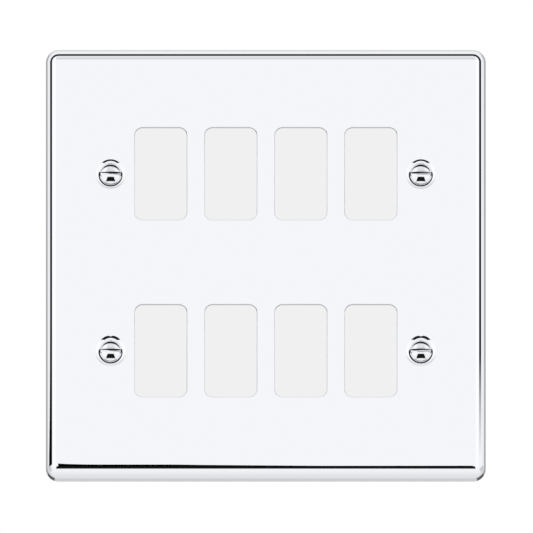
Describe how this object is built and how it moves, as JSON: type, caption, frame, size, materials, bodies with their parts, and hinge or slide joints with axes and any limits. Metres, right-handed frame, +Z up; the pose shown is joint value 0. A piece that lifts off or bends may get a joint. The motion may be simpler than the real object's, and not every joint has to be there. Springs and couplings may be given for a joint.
{
  "type": "grid switch plate",
  "caption": "Square chromed front plate for grid switch modules, with rounded empty apertures in two rows, slotted raised screws and pressed grid frames behind it.",
  "frame": {"origin": "centre of the wall box's four fixing points, in the wall plane", "axes": "+X to the right seen from the front, +Y into the wall, +Z up"},
  "size_m": [0.146, 0.0159, 0.146],
  "materials": {
    "chrome_plate": "bright polished chrome plate on pressed sheet",
    "chrome_screw": "bright chrome plate on turned screws",
    "zinc_sheet": "bright zinc plate on pressed steel",
    "zinc_bush": "zinc plate on turned steel",
    "steel_rivet": "plain steel rivet",
    "nylon": "natural nylon",
    "brass_block": "drawn and cut brass",
    "brass_screw": "turned brass"
  },
  "bodies": {
    "root": {"front_plate": "chrome_plate", "grid_frame_top": "zinc_sheet", "earth_terminal_top": "brass_block", "earth_screw_top": "brass_screw", "terminal_rivet_top": "steel_rivet", "plate_screw_top_left": "chrome_screw", "screw_retainer_top_left": "nylon", "screw_bush_top_left": "zinc_bush", "plate_screw_top_right": "chrome_screw", "screw_retainer_top_right": "nylon", "screw_bush_top_right": "zinc_bush", "grid_frame_bottom": "zinc_sheet", "earth_terminal_bottom": "brass_block", "earth_screw_bottom": "brass_screw", "terminal_rivet_bottom": "steel_rivet", "plate_screw_bottom_left": "chrome_screw", "screw_retainer_bottom_left": "nylon", "screw_bush_bottom_left": "zinc_bush", "plate_screw_bottom_right": "chrome_screw", "screw_retainer_bottom_right": "nylon", "screw_bush_bottom_right": "zinc_bush"}
  },
  "joints": []
}
